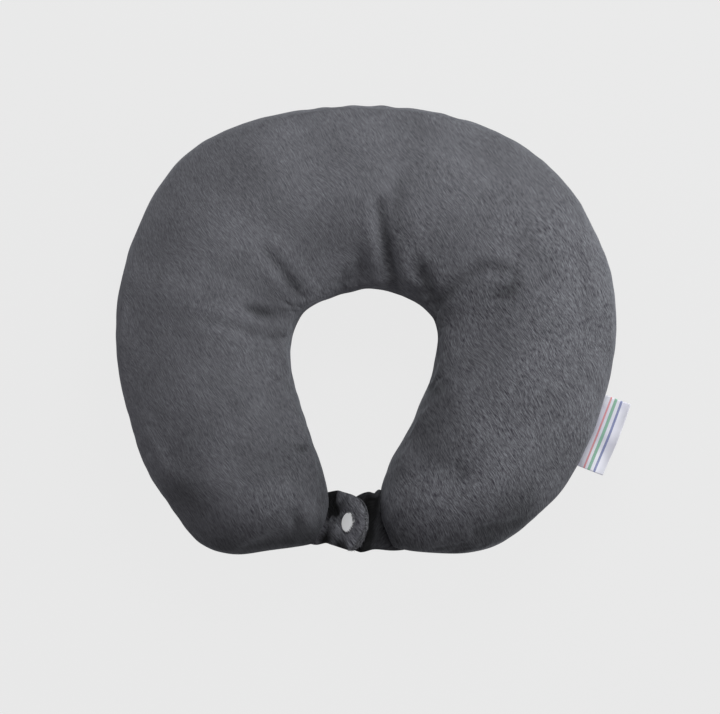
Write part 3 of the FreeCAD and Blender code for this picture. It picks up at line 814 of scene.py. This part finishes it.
def fringe(shape, count=560):
    """Pile that stands out past the upper tab's rim and over the edge of the snap's cap."""
    middle, _, _, x, _ = shape
    rows = np.arange(len(x) // 3, len(x))
    rim, within = (np.concatenate([middle[rows, k], middle[rows[::-1], -1 - k]]) for k in (0, 12))
    run = way_along(rim)
    at = run[-1] * np.clip(rng.normal(FRINGE_AT, FRINGE_REACH, count), FRINGE_FROM, FRINGE_TO)
    edge, inner = (np.stack([np.interp(at, run, row[:, k]) for k in range(3)], -1)
                   for row in (rim, within))
    outward = unit(edge - inner)
    along = np.cross(outward, OFF_FACE)
    longer = LONG_TUFT * np.exp(-((at / run[-1] - LONG_AT) / LONG_REACH) ** 2)
    reach = rng.uniform(0.3, 1.2, count) + longer
    way = unit(outward + along * (0.35 + 0.35 * rng.normal(size=count))[:, None]
               + OFF_FACE * rng.uniform(-0.1, 0.5, count)[:, None])
    base = edge - outward * rng.uniform(0.9, 2.6, count)[:, None]
    base = base + OFF_FACE * rng.uniform(0.4, 1.5, count)[:, None]
    tip = base + way * (reach + 1.6)[:, None]
    round_cap = rng.uniform(0, 2 * math.pi, count // 3)
    spoke = UP_SLOPE * np.cos(round_cap)[:, None] + ACROSS * np.sin(round_cap)[:, None]
    uphill = np.cos(round_cap)
    cap_base = SNAP_AT + spoke * rng.uniform(*CAP_RIM, len(round_cap))[:, None] + OFF_FACE * CAP_RISE
    over_cap = rng.uniform(0.3, 1.3, len(round_cap)) + 1.1 * np.abs(uphill)
    cap_tip = cap_base - spoke * over_cap[:, None] + OFF_FACE * (1.0 + 0.5 * uphill)[:, None]
    bases, tips = np.concatenate([base, cap_base]), np.concatenate([tip, cap_tip])
    width, bow = rng.uniform(0.16, 0.34, len(bases)), rng.uniform(0.05, 0.3, len(bases))
    points, faces = tapered(bases, tips, width, bow)
    return mesh_object("upper_tab_tufts", points, faces, material=TUFTS)


tufts = fringe(upper_shape)
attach(tufts, "upper_tab")


# ---- seam threads ----
CLOSING, CLOSING_AT = 95.0, 0.30        # the gap that the filling went in by, along the outer seam
HAND_STITCH = 3.2                       # spacing of the hand stitches
MACHINE_THREAD, HAND_THREAD = 0.3, 0.28     # radii of the threads
THREAD_DEEP, THREAD_PROUD = 0.5, 0.5    # below the seam's groove, and above it


def thread_tube(points, radius, sides=6):
    """A thread along points, closed at its ends."""
    ahead = unit(np.gradient(points, axis=0))
    side = unit(np.cross(ahead, (0.1, 0.05, 1.0)))
    above = np.cross(side, ahead)
    angle = np.arange(sides) * 2 * math.pi / sides
    ring = side[:, None] * np.cos(angle)[:, None] + above[:, None] * np.sin(angle)[:, None]
    faces = grid_faces(len(points), sides, flip=True, around=True)
    faces += [list(range(sides))[::-1], [(len(points) - 1) * sides + j for j in range(sides)]]
    return (points[:, None] + ring * radius).reshape(-1, 3), faces


def seam_threads():
    """Machine stitching in the seam all round, and the hand stitches that close the filling gap."""
    s = along_tube(420)
    outer, inner, across, _, _ = tube_at(s)
    depth = GROOVE + THREAD_DEEP
    sides = [np.concatenate([edge + across * sign * depth, np.full((len(s), 1), SEAM_Z)], 1)
             for edge, sign in ((outer, -1), (inner, 1))]
    half = CLOSING / 2 * 0.8            # the tube's middle line is shorter than its outer seam
    open_from, open_to = LENGTH * CLOSING_AT - half, LENGTH * CLOSING_AT + half
    before, after = s < open_from, s > open_to
    machine = np.concatenate([sides[0][after], sides[1][::-1], sides[0][before]])
    yield "seam_thread", "perimeter_stitch", *thread_tube(machine, MACHINE_THREAD)
    count = int(CLOSING / HAND_STITCH) * 2
    steps = np.linspace(open_from, open_to, count)
    line, _, over, _, _ = tube_at(steps)
    up_and_down = SEAM_Z + (-1.0) ** np.arange(count)[:, None]
    ladder = np.concatenate([line - over * (GROOVE - THREAD_PROUD), up_and_down], 1)
    ladder = natural_spline(np.arange(count, dtype=float), ladder)(np.linspace(0, count - 1, count * 4))
    yield "ladder_stitch", "closing_stitch", *thread_tube(ladder, HAND_THREAD)


for name, node, points, faces in seam_threads():
    stitches = mesh_object(name, points, faces, material=THREAD)
    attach(stitches, "pillow")
    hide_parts(node)

# ---- label ----
LABEL_TURN = math.radians(-21.5)
LABEL_AT = np.array([136.5 + SHIFT[0], -62.2 + SHIFT[1], SEAM_Z])
LABEL_OUTWARD = np.array([math.cos(LABEL_TURN), math.sin(LABEL_TURN), 0])
LABEL_ALONG = np.array([-math.sin(LABEL_TURN), math.cos(LABEL_TURN), 0])
LABEL_WIDE, LABEL_OUT, LABEL_HELD = 46.5, 15.6, 6.0     # along the seam, out of it, and inside
LAYER_AT, FOLD_ROUND = 0.32, 0.6        # each layer's height off the middle, and the fold's rounding
RIBBON = 0.22                           # the ribbon's thickness


def ribbon():
    """One ribbon folded double, a little bowed, with its ends in the seam."""
    run = LABEL_OUT + LABEL_HELD
    straight = LABEL_OUT - FOLD_ROUND
    lower = [(x, -LAYER_AT) for x in np.linspace(-LABEL_HELD, straight, 22)]
    fold = [(straight + FOLD_ROUND * math.sin(a), -LAYER_AT * math.cos(a))
            for a in np.linspace(0.3, math.pi - 0.3, 7)]
    upper = [(x, LAYER_AT) for x in np.linspace(straight, -LABEL_HELD, 22)]
    profile = np.array(lower + fold + upper)
    across = np.linspace(-LABEL_WIDE / 2, LABEL_WIDE / 2, 60)
    out, lift = profile[:, 0][:, None], profile[:, 1][:, None]
    free = np.clip(out / LABEL_OUT, 0, 1)
    wave = 0.9 * free ** 1.5 * np.sin(across * 0.115 + 0.6)[None]
    wave = wave + 0.5 * free * np.sin(across * 0.27 + 2.0)[None]
    gap = 0.35 * free * (1 - free) * 4 * np.sign(lift) * (1 + 0.4 * np.sin(across * 0.2))[None]
    bow = 0.7 * free * np.cos(across * math.pi / LABEL_WIDE)[None]
    points = LABEL_AT + LABEL_OUTWARD * (out + bow)[..., None]
    points = points + LABEL_ALONG * (across[None] + 0 * out)[..., None]
    points[..., 2] += lift + gap + wave + 0.8 * free
    walk = way_along(profile)
    from_fold = np.abs(walk - walk[-1] / 2)
    flat = np.stack(np.broadcast_arrays(across[None], (LABEL_OUT - from_fold)[:, None]), -1)
    piece = mesh_object("ribbon_label", points, grid_faces(*points.shape[:2]), flat, material=SATIN)
    thick = piece.modifiers.new("thickness", "SOLIDIFY")
    thick.thickness, thick.offset = RIBBON * MM, 0
    bpy.context.view_layer.objects.active = piece
    with bpy.context.temp_override(object=piece, active_object=piece, selected_objects=[piece]):
        bpy.ops.object.modifier_apply(modifier=thick.name)
    return piece, (LABEL_WIDE * MM, 2 * run * MM)


label, label_flat = ribbon()
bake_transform(label)
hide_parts("side_label", "label_root")

# ---- CAD pieces that keep their shape ----
for material, names in ((RESIN, ("snap_cap", "snap_stud", "snap_socket", "socket_cap")),
                        (THREAD, ("upper_tab_stitch", "under_tab_stitch"))):
    for name in names:
        NODES[name].data.materials.clear()
        NODES[name].data.materials.append(material)

# ---- floor, light and camera ----
scene = bpy.context.scene
scene.view_settings.view_transform = "Standard"

BACKDROP = 0.85                         # brightness of the pale ground
BACKDROP_SHARE = 0.93                   # of what the camera sees of the floor
FLOOR_HALF = 4000.0


def floor_material():
    """A pale ground that the camera sees evenly lit, and that throws little light back."""
    shader = Shader("studio_floor")
    place = shader.add("ShaderNodeTexCoord").outputs["Object"]
    grain = shader.noise(place, 40.0, 2.0)
    colour = shader.mix(grain, (0.30, 0.30, 0.30, 1), (0.31, 0.31, 0.31, 1))
    glow = shader.add("ShaderNodeEmission", {"Color": (1, 1, 1, 1), "Strength": BACKDROP}).outputs[0]
    seen = shader.add("ShaderNodeLightPath").outputs["Is Camera Ray"]
    share = shader.maths("MULTIPLY", seen, BACKDROP_SHARE)
    mixed = shader.add("ShaderNodeMixShader", {0: share, 1: shader.surface.outputs[0], 2: glow})
    shader.link(mixed.outputs[0], shader.tree.nodes["Material Output"].inputs["Surface"])
    return shader.finished({"Base Color": colour, "Roughness": 0.9})


floor_corners = FLOOR_HALF * np.array([(-1, -1, 0), (1, -1, 0), (1, 1, 0), (-1, 1, 0)])
mesh_object("studio_floor", floor_corners, [[0, 1, 2, 3]], material=floor_material())

world = bpy.data.worlds.new("studio")
scene.world = world
world.use_nodes = True
background = world.node_tree.nodes["Background"]
background.inputs["Color"].default_value = (0.975, 0.96, 1.0, 1)
background.inputs["Strength"].default_value = 0.42

LAMP_COLOUR = (0.968, 1.0, 0.992)
AIM = Vector((0, 0, 0.04))
for name, place, power, size in (       # place and size in metres, power in watts
    ("key", (0.15, 0.52, 0.65), 5.0, 0.45),
    ("right", (1.3, 0.05, 0.42), 12.8, 0.8),
    ("left", (-1.3, 0.1, 0.6), 2.2, 0.8),
):
    data = bpy.data.lights.new(name, "AREA")
    data.energy, data.color, data.shape, data.size = power, LAMP_COLOUR, "DISK", size
    lamp = bpy.data.objects.new(name, data)
    lamp.location = place
    lamp.rotation_euler = (AIM - Vector(place)).to_track_quat("-Z", "Y").to_euler()
    scene.collection.objects.link(lamp)

CAMERA_X, CAMERA_Y = -0.00823, -0.01653
CAMERA_ABOVE = 1.5                      # over the seam's plane
VIEW_WIDE = 0.4392                      # what the frame spans there
camera_data = bpy.data.cameras.new("camera")
camera_data.sensor_width = 36.0
camera_data.lens = camera_data.sensor_width * CAMERA_ABOVE / VIEW_WIDE
camera = bpy.data.objects.new("camera", camera_data)
camera.location = (CAMERA_X, CAMERA_Y, CAMERA_ABOVE + SEAM_Z * MM)
scene.collection.objects.link(camera)
scene.camera = camera
